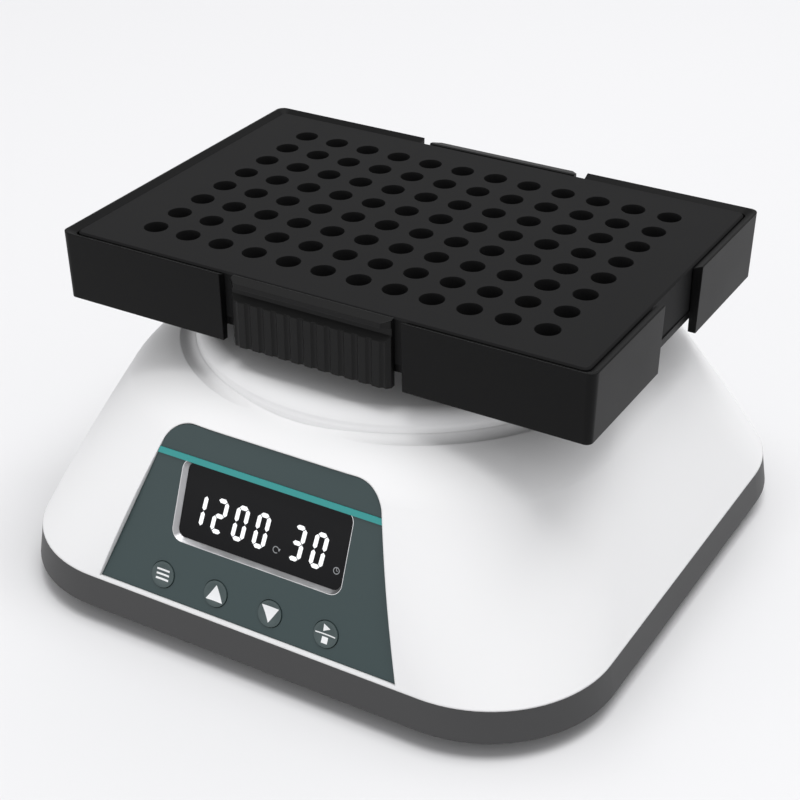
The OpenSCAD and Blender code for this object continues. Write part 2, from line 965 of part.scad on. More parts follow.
module drive_motor() {
    color([0.62, 0.63, 0.65])
        difference() {
            union() {
                translate([0, 0, deck_z - motor_h])
                    cylinder(h = 1.5, r1 = motor_r - 1.5, r2 = motor_r);
                translate([0, 0, deck_z - motor_h + 1.5])
                    cylinder(h = motor_h - 1.5, r = motor_r);
                translate([0, 0, deck_z - 1])
                    cylinder(h = motor_boss_h + 1, r = motor_boss_r);
            }
            translate([0, 0, deck_z - motor_h + 3])
                cylinder(h = motor_h + deck_t, r = shaft_r + run_clear);
            at_motor_screws()
                translate([0, 0, deck_z - 7])
                    cylinder(h = 8, r = screw_r + seat_clear);
            translate([0, 0, deck_z - motor_h / 2])
                tube(3, motor_r + 1, motor_r - 0.6);
        }
}

module motor_screws() {
    color("silver")
        at_motor_screws()
            translate([0, 0, deck_top_z])
                pan_screw(screw_r, deck_t + 5.5);
}

// A flanged bush with its flange's top at z = 0
module bush(length, bore) {
    tube_outer = bore + bush_wall;
    translate([0, 0, -bush_flange])
        tube(bush_flange, bore + bush_wall + 1, bore + run_clear);
    translate([0, 0, -length])
        tube(length - bush_flange + 0.01, tube_outer, bore + run_clear);
}

module deck_bushes() {
    color([0.72, 0.55, 0.3])
        at_idlers()
            translate([0, 0, deck_top_z + bush_flange])
                bush(deck_t + bush_flange, journal_r);
}

module motor_shaft() {
    color("silver")
        translate([0, 0, deck_z - motor_h + 4])
            cylinder(h = hub_top_z - 1.2 - deck_z + motor_h - 4, r = shaft_r);
}

module crank_hub() {
    color([0.7, 0.71, 0.73])
        difference() {
            union() {
                translate([0, 0, hub_z])
                    cylinder(h = hub_top_z - hub_z, r = hub_r);
                on_orbit()
                    translate([0, 0, hub_top_z - 0.5])
                        cylinder(h = pin_top_z - hub_top_z + 0.5, r = pin_r);
                on_orbit()
                    translate([0, 0, hub_top_z - 0.5])
                        cylinder(h = carrier_z - hub_top_z + 0.5, r = pin_r + 1.2);
            }
            translate([0, 0, hub_z - 1])
                cylinder(h = hub_top_z - hub_z - 0.2, r = shaft_r + seat_clear);
            on_orbit()
                translate([0, 0, pin_top_z - 4])
                    cylinder(h = 5, r = small_screw_r + seat_clear);
        }
}

// A sector opposite the crank pin that balances the tray
module counterweight() {
    color([0.7, 0.56, 0.32])
        rotate(rest_angle + 180)
            translate([0, 0, weight_z])
                difference() {
                    union() {
                        cylinder(h = weight_t, r = hub_r + 3);
                        rotate(-weight_angle / 2)
                            rotate_extrude(angle = weight_angle)
                                square([weight_r, weight_t]);
                    }
                    translate([0, 0, -1])
                        cylinder(h = weight_t + 2, r = hub_r + seat_clear);
                }
}

module crank_screw() {
    color("silver")
        on_orbit()
            translate([0, 0, pin_top_z]) {
                tube(0.6, pin_r + 1.2, small_screw_r - 0.01);
                translate([0, 0, 0.6])
                    pan_screw(small_screw_r, 4, 2, 1.2);
            }
}

// A crank with the drive's throw: a journal in the deck, a web and a pin in the carrier
module idler(i) {
    web_z = deck_top_z + bush_flange + 0.3;
    pin_z = carrier_z - bush_flange - 0.3;
    color([0.66, 0.67, 0.69])
        rotate(90 + 120 * i)
            translate([idler_circle_r, 0, 0])
                rotate(-90 - 120 * i) {
                    translate([0, 0, deck_z - 1])
                        cylinder(h = web_z - deck_z + 1.2, r = journal_r);
                    translate([0, 0, web_z])
                        cylinder(h = pin_z - web_z, r = idler_web_r);
                    on_orbit() {
                        translate([0, 0, web_z])
                            cylinder(h = pin_z - web_z, r = idler_web_r);
                        translate([0, 0, pin_z - 0.2])
                            cylinder(h = carrier_top_z - pin_z + 0.2, r = journal_r);
                    }
                }
}

module idler_1() {
    idler(0);
}

module idler_2() {
    idler(1);
}

module idler_3() {
    idler(2);
}

// Carrier: a disc on the crank pin and the idlers, with a neck that comes up through the cover
module carrier() {
    color([0.72, 0.73, 0.75])
        on_orbit()
            difference() {
                union() {
                    translate([0, 0, carrier_z])
                        cylinder(h = carrier_t, r = carrier_r);
                    translate([0, 0, carrier_z])
                        cylinder(h = neck_floor_z - carrier_z, r = neck_r);
                    translate([0, 0, neck_floor_z - 1])
                        tube(plate_z - neck_floor_z + 1, neck_r, neck_r - neck_wall);
                    at_neck_screws()
                        translate([0, 0, neck_floor_z - 1])
                            cylinder(h = plate_z - neck_floor_z + 1, r = neck_boss_r);
                    for (i = [0:5])
                        rotate(60 * i)
                            translate([neck_r - 1, -1.25, carrier_z])
                                cube([carrier_r - neck_r - 3, 2.5, carrier_t + 1]);
                }
                translate([0, 0, carrier_z - 1])
                    cylinder(h = bearing_t + 1, r = bearing_r + seat_clear);
                cylinder(h = plate_z, r = bearing_r - 1.5);
                at_neck_screws()
                    translate([0, 0, plate_z - 9])
                        cylinder(h = 10, r = screw_r + seat_clear);
                at_idlers()
                    translate([0, 0, carrier_z - 1])
                        cylinder(h = carrier_t + 4, r = journal_r + bush_wall + seat_clear);
                for (i = [0:2])
                    rotate(30 + 120 * i)
                        for (y = [-9, 9])
                            translate([idler_circle_r - 4, y, carrier_z - 1])
                                cylinder(h = carrier_t + 2, r = 5);
            }
}

module at_neck_screws() {
    for (i = [0:3])
        rotate(45 + 90 * i)
            translate([neck_boss_circle_r, 0, 0])
                children();
}

module drive_bearing() {
    color("silver")
        on_orbit()
            translate([0, 0, carrier_z])
                difference() {
                    tube(bearing_t, bearing_r, pin_r + run_clear);
                    for (z = [-1, bearing_t - 0.4])
                        translate([0, 0, z])
                            tube(1.4, bearing_r - 1.3, pin_r + 1.4);
                }
}

module carrier_bushes() {
    color([0.72, 0.55, 0.3])
        on_orbit()
            at_idlers()
                translate([0, 0, carrier_z - bush_flange])
                    mirror([0, 0, 1])
                        bush(carrier_t + bush_flange, journal_r);
}

module platform_plate() {
    color([0.2, 0.2, 0.21])
        on_orbit()
            difference() {
                translate([0, 0, plate_z])
                    linear_extrude(plate_t)
                        rounded_rect(2 * plate_half_x, 2 * plate_half_y, 4);
                translate([0, 0, plate_z + plate_t])
                    at_neck_screws()
                        flat_screw_hole(screw_r, plate_t + 1);
                at_four(tray_screw_x, tray_screw_y)
                    translate([0, 0, plate_z - 1])
                        cylinder(h = plate_t + 2, r = screw_r + seat_clear);
            }
}

module platform_screws() {
    color("silver")
        on_orbit()
            translate([0, 0, plate_z + plate_t])
                at_neck_screws()
                    flat_screw(screw_r, plate_t + 7);
}

// Tray

module plate_tray() {
    wall_half_x = tray_half_x - tray_draft;
    wall_half_y = tray_half_y - tray_draft;
    corner_r = tray_corner_r - tray_draft;
    inner_r = 1.2;
    color([0.14, 0.14, 0.14])
        on_orbit() {
            difference() {
                translate([0, 0, tray_z])
                    soft_block(wall_half_x, wall_half_y, tray_h + rim_rise, corner_r,
                        tray_corner_r);
                translate([0, 0, tray_z - 1])
                    soft_block(pocket_half_x, pocket_half_y, tray_h + 4, inner_r, inner_r);
                translate([0, 0, tray_top_z - 0.5])
                    soft_block(pocket_half_x, pocket_half_y, 0.9, inner_r,
                        inner_r + tray_half_x - pocket_half_x - 0.3);
                translate([-gap_half_x, -tray_half_y - 1, tray_z - 1])
                    cube([2 * gap_half_x, 2 * tray_half_y + 2, tray_h + 3]);
                translate([0, -gap_half_y, tray_z - 1])
                    cube([tray_half_x + 1, 2 * gap_half_y, tray_h + 3]);
            }
            difference() {
                translate([0, 0, tray_floor_z])
                    soft_block(pocket_half_x, pocket_half_y, tray_floor, inner_r, inner_r);
                for (s = [-1, 1])
                    translate([-gap_half_x, s * pocket_half_y - 0.3, tray_floor_z - 1])
                        cube([2 * gap_half_x, 0.6, tray_floor + 2]);
                at_four(tray_screw_x, tray_screw_y)
                    translate([0, 0, block_z])
                        flat_screw_hole(screw_r, tray_floor + 1);
                at_guide_screws()
                    translate([0, 0, tray_floor_z - 1])
                        cylinder(h = tray_floor + 2, r = small_screw_r + seat_clear);
            }
        }
}

module tray_screws() {
    color("silver")
        on_orbit()
            at_four(tray_screw_x, tray_screw_y)
                translate([0, 0, block_z])
                    flat_screw(screw_r, tray_floor + plate_t - 0.4);
}

// Clips

// Places its children for the front clip, and turned round for the back one
module at_clip(side) {
    on_orbit()
        rotate(side == "front" ? 180 : 0)
            children();
}

module at_guide_screws() {
    for (s = [-1, 1], t = [-1, 1], y = [guide_in + 4, guide_out - 4])
        translate([s * (tongue_half + 2.4), t * y, 0])
            children();
}

// Profile of a clip, x measured out from the tray's middle and y up from the walls' foot
module clip_profile() {
    lip_y = tray_h - 1.5;
    polygon([[clip_in, 0], [tray_half_y + 0.5, 0], [tray_half_y + 0.5, tray_h - 5],
        [tray_half_y - 0.9, tray_h - 3.6], [tray_half_y - 0.9, lip_y - 0.5],
        [clip_lip_out, lip_y], [clip_lip_out, tray_h - 0.4], [clip_in + 0.4, tray_h + 0.15],
        [clip_in, tray_h]]);
}

module clip() {
    rib_pitch = 2 * (clip_half - 1.4) / clip_ribs;
    color([0.16, 0.16, 0.16])
        difference() {
            translate([0, 0, tray_z])
                rotate([90, 0, 90])
                    linear_extrude(2 * clip_half, center = true)
                        clip_profile();
            for (i = [0:clip_ribs])
                translate([(i - clip_ribs / 2) * rib_pitch, tray_half_y + 1.1, tray_z - 1])
                    cylinder(h = tray_h - 3.9, r = 1, $fn = 24);
            for (s = [-1, 1])
                translate([s * clip_half, clip_lip_out, tray_z - 1])
                    rotate(45)
                        cube([2.4, 2.4, 3 * tray_h], center = true);
            translate([-tongue_half - seat_clear, clip_in - 1, tongue_z - seat_clear])
                cube([2 * (tongue_half + seat_clear), tongue_seat + seat_clear + 1,
                    tongue_t + 2 * seat_clear]);
        }
}

// The tongue that is let into the clip and slides under the tray, with its spring's window
module clip_tongue() {
    color([0.2, 0.2, 0.2])
        difference() {
            translate([-tongue_half, tongue_in, tongue_z])
                cube([2 * tongue_half, clip_in + tongue_seat - tongue_in, tongue_t]);
            translate([-slot_half, slot_in, tongue_z - 1])
                cube([2 * slot_half, slot_out - slot_in, tongue_t + 2]);
        }
}

module clip_front() {
    at_clip("front")
        clip();
}

module clip_back() {
    at_clip("back")
        clip();
}

module clip_tongue_front() {
    at_clip("front")
        clip_tongue();
}

module clip_tongue_back() {
    at_clip("back")
        clip_tongue();
}

// The channel under the tray that a clip's tongue slides in, with the peg for its spring
module clip_guide() {
    difference() {
        union() {
            translate([-guide_half, guide_in, guide_z])
                cube([2 * guide_half, guide_out - guide_in, guide_t]);
            for (s = [0, 1])
                mirror([s, 0, 0])
                    translate([tongue_half + joint_clear, guide_in, guide_z])
                        cube([guide_half - tongue_half - joint_clear, guide_out - guide_in,
                            tray_floor_z - guide_z]);
            translate([-peg_half, peg_in, guide_z])
                cube([2 * peg_half, peg_t, tray_floor_z - tongue_gap - guide_z]);
        }
        for (s = [-1, 1], y = [guide_in + 4, guide_out - 4])
            translate([s * (tongue_half + 2.4), y, guide_z - 1])
                cylinder(h = tray_under + 2, r = small_screw_r + seat_clear);
    }
}

module clip_guides() {
    color([0.2, 0.2, 0.21])
        for (side = ["front", "back"])
            at_clip(side)
                clip_guide();
}

module guide_screws() {
    color("silver")
        on_orbit()
            at_guide_screws()
                translate([0, 0, guide_z])
                    mirror([0, 0, 1])
                        pan_screw(small_screw_r, tray_floor_z - guide_z + tray_floor - 0.4, 1.8,
                            0.8);
}

// A compression spring along y. Each half turn is half a ring, sheared so that
// it climbs by half the pitch.
module clip_spring() {
    length = peg_in - slot_in - 0.3;
    pitch = (length - 2 * spring_wire_r) / spring_turns;
    climb = pitch / (4 * spring_r);
    color("silver")
        translate([0, slot_in + 0.15 + spring_wire_r, tongue_z + tongue_t / 2])
            rotate([-90, 0, 0])
                for (i = [0:2 * spring_turns - 1])
                    translate([0, 0, (i + 0.5) * pitch / 2])
                        rotate(180 * i)
                            multmatrix([[1, 0, 0, 0], [0, 1, 0, 0], [-climb, 0, 1, 0], [0, 0, 0, 1]])
                                rotate_extrude(angle = 180, $fn = 24)
                                    translate([spring_r, 0])
                                        circle(r = spring_wire_r, $fn = 16);
}

module clip_spring_front() {
    at_clip("front")
        clip_spring();
}

module clip_spring_back() {
    at_clip("back")
        clip_spring();
}

// Well block

// A well with its mouth at z = 0: a round bore that narrows to a blunt tip
module well() {
    tip = 2;
    translate([0, 0, -well_depth + tip])
        cylinder(h = well_depth - tip + 1, r = well_r, $fn = 48);
    translate([0, 0, -well_depth])
        cylinder(h = tip, r1 = well_r / 2, r2 = well_r, $fn = 48);
}

module well_block() {
    edge = 0.4;
    corner_r = 1.6;
    color([0.18, 0.18, 0.18])
        on_orbit()
            difference() {
                union() {
                    translate([0, 0, block_z])
                        soft_block(block_half_x, block_half_y, block_h - edge, corner_r, corner_r);
                    translate([0, 0, block_z + block_h - edge])
                        soft_block(block_half_x, block_half_y, edge, corner_r, corner_r - edge);
                }
                for (c = [0:well_columns - 1], r = [0:well_rows - 1])
                    translate([(c - (well_columns - 1) / 2) * well_pitch,
                        (r - (well_rows - 1) / 2) * well_pitch, block_z + block_h])
                        well();
            }
}

base_pan();
feet();
base_screws();
dome_cover();
power_board();
dc_inlet();
inlet_nut();
switch_frame();
switch_rocker();
motor_deck();
deck_screws();
drive_motor();
motor_screws();
deck_bushes();
control_board();
board_screws();
display_module();
display_window();
display_bezel();
control_panel();
accent_stripe();
key_menu();
key_up();
key_down();
key_start();
motor_shaft();
crank_hub();
counterweight();
crank_screw();
idler_1();
idler_2();
idler_3();
carrier();
drive_bearing();
carrier_bushes();
platform_plate();
platform_screws();
plate_tray();
tray_screws();
clip_guides();
guide_screws();
clip_front();
clip_back();
clip_tongue_front();
clip_tongue_back();
clip_spring_front();
clip_spring_back();
well_block();
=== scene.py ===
import math
import bpy
from mathutils import Matrix, Vector


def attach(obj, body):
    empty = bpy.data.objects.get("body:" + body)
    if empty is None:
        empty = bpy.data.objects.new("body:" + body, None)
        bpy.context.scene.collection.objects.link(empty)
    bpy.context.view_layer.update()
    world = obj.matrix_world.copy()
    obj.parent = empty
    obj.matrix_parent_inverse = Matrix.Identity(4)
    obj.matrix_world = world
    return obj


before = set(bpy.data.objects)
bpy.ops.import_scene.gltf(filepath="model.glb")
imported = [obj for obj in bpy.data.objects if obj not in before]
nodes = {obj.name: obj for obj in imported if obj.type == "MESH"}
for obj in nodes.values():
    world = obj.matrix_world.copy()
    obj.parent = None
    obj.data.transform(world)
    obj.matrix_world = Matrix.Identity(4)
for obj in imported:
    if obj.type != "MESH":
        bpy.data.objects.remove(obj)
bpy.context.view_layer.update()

MM = 0.001
scene = bpy.context.scene


# Materials

ROUGH_SCALE, TINT_SCALE = 45.0, 14.0


def noise(nt, vector, scale, detail):
    n = nt.nodes.new("ShaderNodeTexNoise")
    n.inputs["Scale"].default_value = scale
    n.inputs["Detail"].default_value = detail
    nt.links.new(vector, n.inputs["Vector"])
    return n.outputs["Fac"]


def material(name, base, rough, metallic=0.0, spec=0.5, grain=None, bevel=0.0, rough_var=0.04,
             emission=None, brushed=None, tint=0.0):
    """A procedural finish.

    rough_var spreads the roughness and tint the colour, grain is the size and depth of
    a fine bump in mm, brushed stretches that bump, and bevel rounds edges by so many mm.
    """
    m = bpy.data.materials.new(name)
    m.use_nodes = True
    nt = m.node_tree
    nt.nodes.clear()
    out = nt.nodes.new("ShaderNodeOutputMaterial")
    p = nt.nodes.new("ShaderNodeBsdfPrincipled")
    nt.links.new(p.outputs["BSDF"], out.inputs["Surface"])
    p.inputs["Base Color"].default_value = base
    p.inputs["Metallic"].default_value = metallic
    p.inputs["Roughness"].default_value = rough
    p.inputs["Specular IOR Level"].default_value = spec
    if emission:
        p.inputs["Emission Color"].default_value = base
        p.inputs["Emission Strength"].default_value = emission
    place = nt.nodes.new("ShaderNodeTexCoord").outputs["Object"]
    if rough_var:
        r = nt.nodes.new("ShaderNodeMapRange")
        r.inputs["To Min"].default_value = max(0.02, rough - rough_var)
        r.inputs["To Max"].default_value = min(1.0, rough + rough_var)
        nt.links.new(noise(nt, place, ROUGH_SCALE, 4.0), r.inputs["Value"])
        nt.links.new(r.outputs["Result"], p.inputs["Roughness"])
    if tint:
        mix = nt.nodes.new("ShaderNodeMix")
        mix.data_type = "RGBA"
        mix.inputs["A"].default_value = tuple(c * (1 - tint) for c in base[:3]) + (1,)
        mix.inputs["B"].default_value = tuple(min(1, c * (1 + tint)) for c in base[:3]) + (1,)
        nt.links.new(noise(nt, place, TINT_SCALE, 3.0), mix.inputs["Factor"])
        nt.links.new(mix.outputs["Result"], p.inputs["Base Color"])
    normal = None
    if bevel:
        b = nt.nodes.new("ShaderNodeBevel")
        b.samples = 6
        b.inputs["Radius"].default_value = bevel * MM
        normal = b.outputs["Normal"]
    if grain:
        size, depth = grain
        if brushed:
            stretch = nt.nodes.new("ShaderNodeMapping")
            stretch.inputs["Scale"].default_value = brushed
            nt.links.new(place, stretch.inputs["Vector"])
            place = stretch.outputs["Vector"]
        bump = nt.nodes.new("ShaderNodeBump")
        bump.inputs["Strength"].default_value = 1.0
        bump.inputs["Distance"].default_value = depth * MM
        nt.links.new(noise(nt, place, 1 / (size * MM), 3.0), bump.inputs["Height"])
        if normal:
            nt.links.new(normal, bump.inputs["Normal"])
        normal = bump.outputs["Normal"]
    if normal:
        nt.links.new(normal, p.inputs["Normal"])
    return m


white = material("cover_white", (0.825, 0.825, 0.83, 1), 0.5, spec=0.18, grain=(0.5, 0.004), bevel=0.5)
pan_grey = material("pan_grey", (0.055, 0.055, 0.056, 1), 0.5, spec=0.28, grain=(0.35, 0.01), bevel=0.5)
rubber = material("foot_rubber", (0.012, 0.012, 0.012, 1), 0.75, spec=0.2, grain=(0.4, 0.01), bevel=0.3)
panel_film = material("panel_film", (0.04, 0.062, 0.064, 1), 0.42, spec=0.22, grain=(0.3, 0.003), bevel=0.1)
key_film = material("key_film", (0.047, 0.07, 0.071, 1), 0.36, spec=0.34, grain=(0.3, 0.003), bevel=0.25)
stripe = material("accent_teal", (0.026, 0.28, 0.27, 1), 0.4, spec=0.3, bevel=0.08)
glass_black = material("window_black", (0.008, 0.008, 0.009, 1), 0.2, spec=0.07, rough_var=0.02)
bezel = material("bezel_silver", (0.6, 0.6, 0.61, 1), 0.32, metallic=0.9, grain=(0.25, 0.002), bevel=0.05)
black_moulded = material("black_moulded", (0.014, 0.014, 0.015, 1), 0.42, spec=0.35,
                         grain=(0.3, 0.005), bevel=0.2)
rocker_black = material("rocker_black", (0.012, 0.012, 0.013, 1), 0.3, spec=0.4, bevel=0.3)
steel = material("screw_steel", (0.55, 0.55, 0.56, 1), 0.3, metallic=1.0, grain=(0.3, 0.003), bevel=0.08)
shaft_steel = material("ground_steel", (0.6, 0.6, 0.62, 1), 0.2, metallic=1.0, grain=(0.2, 0.002),
                       brushed=(1, 1, 12), bevel=0.15)
alu = material("machined_aluminium", (0.62, 0.63, 0.65, 1), 0.36, metallic=1.0, grain=(0.4, 0.004),
               brushed=(1, 9, 1), bevel=0.2)
motor_can = material("motor_can", (0.42, 0.43, 0.45, 1), 0.35, metallic=0.9, grain=(0.5, 0.003), bevel=0.4)
bronze = material("sintered_bronze", (0.5, 0.33, 0.15, 1), 0.45, metallic=0.95,
                  grain=(0.25, 0.006), bevel=0.15)
brass = material("turned_brass", (0.62, 0.46, 0.2, 1), 0.3, metallic=1.0, grain=(0.3, 0.003), bevel=0.2)
pcb = material("board_green", (0.012, 0.11, 0.045, 1), 0.4, spec=0.5, grain=(0.6, 0.01), bevel=0.1, tint=0.2)
powder_black = material("tray_black", (0.0035, 0.0035, 0.0036, 1), 0.42, spec=0.11,
                        grain=(0.32, 0.012), bevel=0.35)
block_black = material("block_black", (0.0135, 0.0135, 0.0138, 1), 0.5, spec=0.04,
                       grain=(0.28, 0.008), bevel=0.2)
clip_black = material("clip_black", (0.005, 0.005, 0.005, 1), 0.4, spec=0.16, grain=(0.3, 0.006), bevel=0.25)
inner_black = material("inner_black", (0.02, 0.02, 0.021, 1), 0.5, spec=0.3, grain=(0.3, 0.005), bevel=0.2)
lcd_white = material("segment_white", (0.86, 0.87, 0.88, 1), 0.5, spec=0.1, rough_var=0, emission=0.35)
print_white = material("print_white", (0.82, 0.83, 0.84, 1), 0.55, spec=0.15, rough_var=0)
print_grey = material("print_grey", (0.30, 0.31, 0.32, 1), 0.5, spec=0.2, rough_var=0)

finish_of = {
    "base_pan": pan_grey, "feet": rubber, "base_screws": steel, "dome_cover": white,
    "power_board": pcb, "dc_inlet": black_moulded, "inlet_nut": steel, "switch_frame": black_moulded,
    "switch_rocker": rocker_black, "motor_deck": alu, "deck_screws": steel, "drive_motor": motor_can,
    "motor_screws": steel, "deck_bushes": bronze, "control_board": pcb, "board_screws": steel,
    "display_module": inner_black, "display_window": glass_black, "display_bezel": bezel,
    "control_panel": panel_film, "accent_stripe": stripe, "key_menu": key_film, "key_up": key_film,
    "key_down": key_film, "key_start": key_film, "motor_shaft": shaft_steel, "crank_hub": alu,
    "counterweight": brass, "crank_screw": steel, "idler_1": shaft_steel, "idler_2": shaft_steel,
    "idler_3": shaft_steel, "carrier": alu, "drive_bearing": shaft_steel, "carrier_bushes": bronze,
    "platform_plate": powder_black, "platform_screws": steel, "plate_tray": powder_black,
    "tray_screws": steel, "clip_guides": clip_black, "guide_screws": steel, "clip_front": clip_black,
    "clip_tongue_front": clip_black, "clip_tongue_back": clip_black,
    "clip_back": clip_black, "clip_spring_front": steel, "clip_spring_back": steel,
    "well_block": block_black,
}
for name, finish in finish_of.items():
    for s in nodes[name].material_slots:
        s.material = finish


# The panel's own frame: x along it, y up its slope, z out of its face.
# The sizes are the cover's and the panel's in the CAD, in mm and degrees.

SEAM_Z, BASE_HALF, SHOULDER_HALF, DOME_H = 12.0, 73.5, 56.5, 44.0
PANEL_SHIFT, PANEL_LIFT, PANEL_RECESS, PANEL_LEAN = -1.5, 0.7, 0.6, 0.5
SLOPE = math.atan2(DOME_H, BASE_HALF - SHOULDER_HALF)
PANEL_Y = -BASE_HALF + PANEL_LIFT / math.tan(SLOPE) + PANEL_RECESS / math.sin(SLOPE)
PANEL = Matrix.Translation(Vector((PANEL_SHIFT, PANEL_Y, SEAM_Z + PANEL_LIFT)) * MM) \
    @ Matrix.Rotation(SLOPE - math.radians(PANEL_LEAN), 4, "X")


def on_panel(x, v, w):
    return PANEL @ (Vector((x, v, w)) * MM)


def mesh_piece(name, verts, faces, finish, body):
    me = bpy.data.meshes.new(name)
    me.from_pydata([tuple(v) for v in verts], [], faces)
    me.update()
    o = bpy.data.objects.new(name, me)
    scene.collection.objects.link(o)
    me.materials.append(finish)
    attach(o, body)
    return o


def prisms(shapes, place, low, high):
    """Thin prisms over flat outlines.

    place(x, y, z) gives the point in space; low and high are heights or functions of x, y.
    """
    verts, faces = [], []
    lo = low if callable(low) else (lambda x, y: low)
    hi = high if callable(high) else (lambda x, y: high)
    for pts in shapes:
        n = len(pts)
        turn = sum(pts[i][0] * pts[(i + 1) % n][1] - pts[(i + 1) % n][0] * pts[i][1] for i in range(n))
        if turn < 0:
            pts = pts[::-1]
        k = len(verts)
        verts += [place(x, y, lo(x, y)) for x, y in pts] + [place(x, y, hi(x, y)) for x, y in pts]
        faces.append(tuple(k + i for i in reversed(range(n))))
        faces.append(tuple(k + n + i for i in range(n)))
        faces += [(k + i, k + (i + 1) % n, k + n + (i + 1) % n, k + n + i) for i in range(n)]
    return verts, faces


# Seven-segment digits on the display window

SEGMENTS = {"0": "abcdef", "1": "bc", "2": "abged", "3": "abgcd"}
DIGIT_H, DIGIT_W, DIGIT_PITCH, DIGIT_V = 8.2, 3.45, 5.55, 17.9
BAR_T, BAR_GAP, SLANT = 1.02, 0.12, 0.085
SPEED_X, TIME_X = -19.0, 6.95
# The window's face lies under the panel's, and prints start a little below the face they sit on
WINDOW_W = -1.3
PRINT_SINK, PRINT_T, MARK_T = 0.01, 0.03, 0.025


def segment_shapes():
    """The seven bars of a digit as outlines."""
    def bar(x0, y0, x1, y1):
        d = Vector((x1 - x0, y1 - y0)).normalized()
        n = Vector((-d.y, d.x)) * BAR_T / 2
        a = Vector((x0, y0)) + d * BAR_GAP
        b = Vector((x1, y1)) - d * BAR_GAP
        e = d * BAR_T / 2
        return [tuple(v) for v in (a, a + e - n, b - e - n, b, b - e + n, a + e + n)]
    left, right = BAR_T / 2, DIGIT_W - BAR_T / 2
    low, mid, high = BAR_T / 2, DIGIT_H / 2, DIGIT_H - BAR_T / 2
    return {"a": bar(left, high, right, high), "b": bar(right, mid, right, high),
            "c": bar(right, low, right, mid), "d": bar(left, low, right, low),
            "e": bar(left, low, left, mid), "f": bar(left, mid, left, high),
            "g": bar(left, mid, right, mid)}


def digits(text, x0):
    shapes = []
    for i, ch in enumerate(text):
        for key, outline in segment_shapes().items():
            if key in SEGMENTS[ch]:
                shapes.append([(x0 + i * DIGIT_PITCH + x + SLANT * y, DIGIT_V + y) for x, y in outline])
    return shapes


verts, faces = prisms(digits("1200", SPEED_X) + digits("30", TIME_X), on_panel,
                      WINDOW_W - PRINT_SINK, WINDOW_W + PRINT_T)
mesh_piece("display_digits", verts, faces, lcd_white, "base")


def ring(cx, cy, r0, r1, a0=0.0, a1=360.0, steps=40):
    """Flat quads along an arc."""
    out = []
    for i in range(steps):
        a = math.radians(a0 + (a1 - a0) * i / steps)
        b = math.radians(a0 + (a1 - a0) * (i + 1) / steps)
        out.append([(cx + r * math.cos(t), cy + r * math.sin(t))
                    for r, t in ((r0, a), (r1, a), (r1, b), (r0, b))])
    return out


def rect(x0, y0, x1, y1):
    return [(x0, y0), (x1, y0), (x1, y1), (x0, y1)]


# Small symbols beside the numbers: a turning arrow for speed and a dial for time
TURN_X, DIAL_X, MARK_V = 4.1, 19.6, 19.0
MARK_R0, MARK_R1 = 0.62, 0.8
marks = ring(TURN_X, MARK_V, MARK_R0, MARK_R1, 20, 310, 24)
marks += [[(TURN_X + 0.42, MARK_V + 0.5), (TURN_X + 1.15, MARK_V + 0.45), (TURN_X + 0.85, MARK_V - 0.25)]]
marks += ring(DIAL_X, MARK_V, MARK_R0, MARK_R1)
marks += [rect(DIAL_X - 0.07, MARK_V - 0.05, DIAL_X + 0.07, MARK_V + 0.6),
          rect(DIAL_X, MARK_V - 0.07, DIAL_X + 0.4, MARK_V + 0.05)]
verts, faces = prisms(marks, on_panel, WINDOW_W - PRINT_SINK, WINDOW_W + MARK_T)
mesh_piece("display_marks", verts, faces, print_grey, "base")


# Polarity mark on the rear recess, between the inlet and the switch

REAR_Y, REAR_MID_Z, MARK_X = 64.0, 24.25, 1.375


def on_rear(x, z, w):
    """x runs to the right for someone behind the base."""
    return Vector((MARK_X - x, REAR_Y + w, REAR_MID_Z + z)) * MM


def disc(cx, cy, r, steps=24):
    return [(cx + r * math.cos(2 * math.pi * i / steps), cy + r * math.sin(2 * math.pi * i / steps))
            for i in range(steps)]


SIGN_X, SIGN_R, SIGN_BAR, SOCKET_R, LINE = 3.5, 1.05, 0.5, 1.2, 0.16
PIN_R, PIN_LINE_X = 0.38, 0.36
polarity = ring(-SIGN_X, 0, SIGN_R - LINE, SIGN_R) + ring(SIGN_X, 0, SIGN_R - LINE, SIGN_R)
polarity += ring(0, 0, SOCKET_R - LINE, SOCKET_R, 40, 320, 28) + [disc(0, 0, PIN_R)]
polarity += [rect(-SIGN_X + SIGN_R, -LINE / 2, -SOCKET_R + LINE / 2, LINE / 2),
             rect(PIN_LINE_X, -LINE / 2, SIGN_X - SIGN_R, LINE / 2),
             rect(-SIGN_X - SIGN_BAR, -LINE / 2, -SIGN_X + SIGN_BAR, LINE / 2),
             rect(SIGN_X - SIGN_BAR, -LINE / 2, SIGN_X + SIGN_BAR, LINE / 2),
             rect(SIGN_X - LINE / 2, -SIGN_BAR, SIGN_X + LINE / 2, SIGN_BAR)]
verts, faces = prisms(polarity, on_rear, -PRINT_SINK, PRINT_T)
mesh_piece("polarity_mark", verts, faces, print_grey, "base")


# Symbols on the keys, laid on their dished faces

DISH_R, DISH_Z, KEY_TOP = 14.0, 0.05, 0.25
SYMBOL_SINK, COLUMNS, TINY = 0.02, 8, 1e-6


def key_face(cx, cy):
    """The height of a key's face: a shallow dish round its middle, with a flat rim."""
    def z(x, y):
        r2 = (x - cx) ** 2 + (y - cy) ** 2
        return min(KEY_TOP, DISH_Z + DISH_R - math.sqrt(DISH_R ** 2 - r2))
    return z


